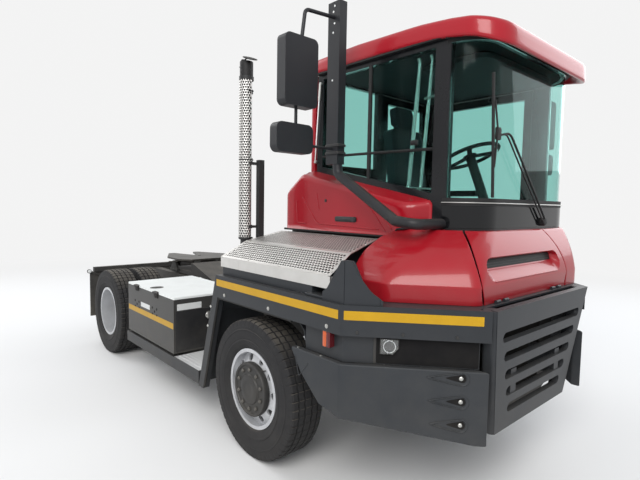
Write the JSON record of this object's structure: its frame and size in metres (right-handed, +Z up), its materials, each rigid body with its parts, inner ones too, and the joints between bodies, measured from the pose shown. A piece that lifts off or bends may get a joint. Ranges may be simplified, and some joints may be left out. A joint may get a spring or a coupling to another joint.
{
  "type": "terminal tractor",
  "caption": "Two-axle yard tractor with an offset red cab, stepped dark guard rails with a yellow stripe, an exhaust stack and a lifting fifth wheel.",
  "frame": {"origin": "on the ground, at the middle of the overall length and close to the chassis centre line", "axes": "+X forward, +Y to the driver's left, +Z up"},
  "size_m": [5.7178, 2.632, 3.331],
  "materials": {
    "chassis_black": "satin",
    "guard_grey": "satin",
    "panel_grey": "grained",
    "red_paint": "gloss",
    "cab_black": "satin",
    "aluminium_sheet": "brushed",
    "box_white": "satin",
    "box_grey": "satin",
    "tank_grey": "satin",
    "glass": "clear",
    "tyre": "worn",
    "rim_silver": "worn",
    "steel": "worn",
    "greased_steel": "greasy",
    "engine_iron": "oily",
    "mirror_black": "grained",
    "lamp_lens": "gloss",
    "seat_fabric": "woven",
    "dash_plastic": "grained"
  },
  "bodies": {
    "chassis": {"chassis_frame": "chassis_black", "engine": "engine_iron", "front_bumper": "guard_grey", "guard_rails": "guard_grey", "side_bumpers": "panel_grey", "lamps": "lamp_lens", "arch_liners": "panel_grey", "step_beams": "guard_grey", "battery_box": "box_grey", "fuel_tank": "tank_grey", "deck_right": "aluminium_sheet", "deck_base": "panel_grey", "side_hood": "red_paint", "engine_bay": "panel_grey", "front_hood": "red_paint", "cab_shell": "cab_black", "cab_floor": "cab_black", "windscreen": "glass", "cab_windows": "glass", "cab_roof": "red_paint", "seat_base": "dash_plastic", "seat_cushion": "seat_fabric", "seat_back": "seat_fabric", "steering_wheel": "dash_plastic", "dashboard": "dash_plastic", "mirrors_right": "mirror_black", "mirrors_left": "mirror_black", "exhaust": "steel", "rear_platform": "chassis_black", "front_axle": "engine_iron", "rear_axle": "engine_iron"},
    "battery_lid": {"battery_box_lid": "box_white"},
    "hood_flap": {"front_hood_flap": "red_paint"},
    "door_left": {"cab_door_left": "cab_black", "door_left_glass": "glass"},
    "door_rear": {"cab_door_rear": "cab_black", "door_rear_glass": "glass"},
    "boom": {"lift_boom": "chassis_black"},
    "fifth_wheel": {"fifth_wheel": "greased_steel"},
    "lift_barrels": {"lift_barrels": "chassis_black"},
    "lift_rods": {"lift_rods": "steel"},
    "knuckle_right": {"knuckle_right": "engine_iron"},
    "knuckle_left": {"knuckle_left": "engine_iron"},
    "tie_rod": {"tie_rod": "steel"},
    "wheel_front_right": {"front_tyre_right": "tyre", "front_rim_right": "rim_silver"},
    "wheel_front_left": {"front_tyre_left": "tyre", "front_rim_left": "rim_silver"},
    "wheels_rear_right": {"rear_tyres_right": "tyre", "rear_rims_right": "rim_silver"},
    "wheels_rear_left": {"rear_tyres_left": "tyre", "rear_rims_left": "rim_silver"}
  },
  "joints": [
    {"name": "steer_right", "type": "hinge", "parent": "chassis", "child": "knuckle_right", "pos_m": [1.24, -0.87, 0.52], "axis": [0, 0, 1], "range_deg": [-38, 38]},
    {"name": "steer_left", "type": "hinge", "parent": "chassis", "child": "knuckle_left", "pos_m": [1.24, 0.87, 0.52], "axis": [0, 0, 1], "range_deg": [-38, 38]},
    {"name": "tie_rod_slide", "type": "slide", "parent": "chassis", "child": "tie_rod", "axis": [0, 1, 0], "range_m": [-0.1175, 0.1175]},
    {"name": "spin_front_right", "type": "hinge", "parent": "knuckle_right", "child": "wheel_front_right", "pos_m": [1.24, -1.095, 0.52], "axis": [0, 1, 0], "continuous": true},
    {"name": "spin_front_left", "type": "hinge", "parent": "knuckle_left", "child": "wheel_front_left", "pos_m": [1.24, 1.095, 0.52], "axis": [0, 1, 0], "continuous": true},
    {"name": "spin_rear_right", "type": "hinge", "parent": "chassis", "child": "wheels_rear_right", "pos_m": [-2.003, -0.94, 0.52], "axis": [0, 1, 0], "continuous": true},
    {"name": "spin_rear_left", "type": "hinge", "parent": "chassis", "child": "wheels_rear_left", "pos_m": [-2.003, 0.94, 0.52], "axis": [0, 1, 0], "continuous": true},
    {"name": "boom_lift", "type": "hinge", "parent": "chassis", "child": "boom", "pos_m": [-0.26, 0, 0.85], "axis": [0, 1, 0], "range_deg": [0, 17]},
    {"name": "fifth_wheel_rock", "type": "hinge", "parent": "boom", "child": "fifth_wheel", "pos_m": [-1.93, 0, 1.085], "axis": [0, 1, 0], "range_deg": [-12, 12]},
    {"name": "barrel_swing", "type": "hinge", "parent": "chassis", "child": "lift_barrels", "pos_m": [-0.7, 0, 0.6], "axis": [0, 1, 0], "range_deg": [0, 22]},
    {"name": "rod_slide", "type": "slide", "parent": "lift_barrels", "child": "lift_rods", "axis": [-0.9252, 0, 0.3796], "range_m": [0, 0.133]},
    {"name": "door_left_swing", "type": "hinge", "parent": "chassis", "child": "door_left", "pos_m": [2.187, 1.162, 2.18], "axis": [0, 0, -1], "range_deg": [0, 80]},
    {"name": "door_rear_swing", "type": "hinge", "parent": "chassis", "child": "door_rear", "pos_m": [1.058, 1.037, 2.18], "axis": [0, 0, -1], "range_deg": [0, 90]},
    {"name": "battery_lid_swing", "type": "hinge", "parent": "chassis", "child": "battery_lid", "pos_m": [-0.6035, -0.468, 0.9953], "axis": [-1, 0, 0], "range_deg": [0, 95]},
    {"name": "hood_flap_swing", "type": "hinge", "parent": "chassis", "child": "hood_flap", "pos_m": [2.74, 0, 1.332], "axis": [0, 1, 0], "range_deg": [0, 70]}
  ],
  "couplings": [
    {"joint": "steer_left", "follows": "steer_right", "ratio": 1},
    {"joint": "tie_rod_slide", "follows": "steer_right", "m_per_rad": -0.1764},
    {"joint": "barrel_swing", "follows": "boom_lift", "ratio": 1.274},
    {"joint": "rod_slide", "follows": "boom_lift", "m_per_rad": 0.4434}
  ]
}
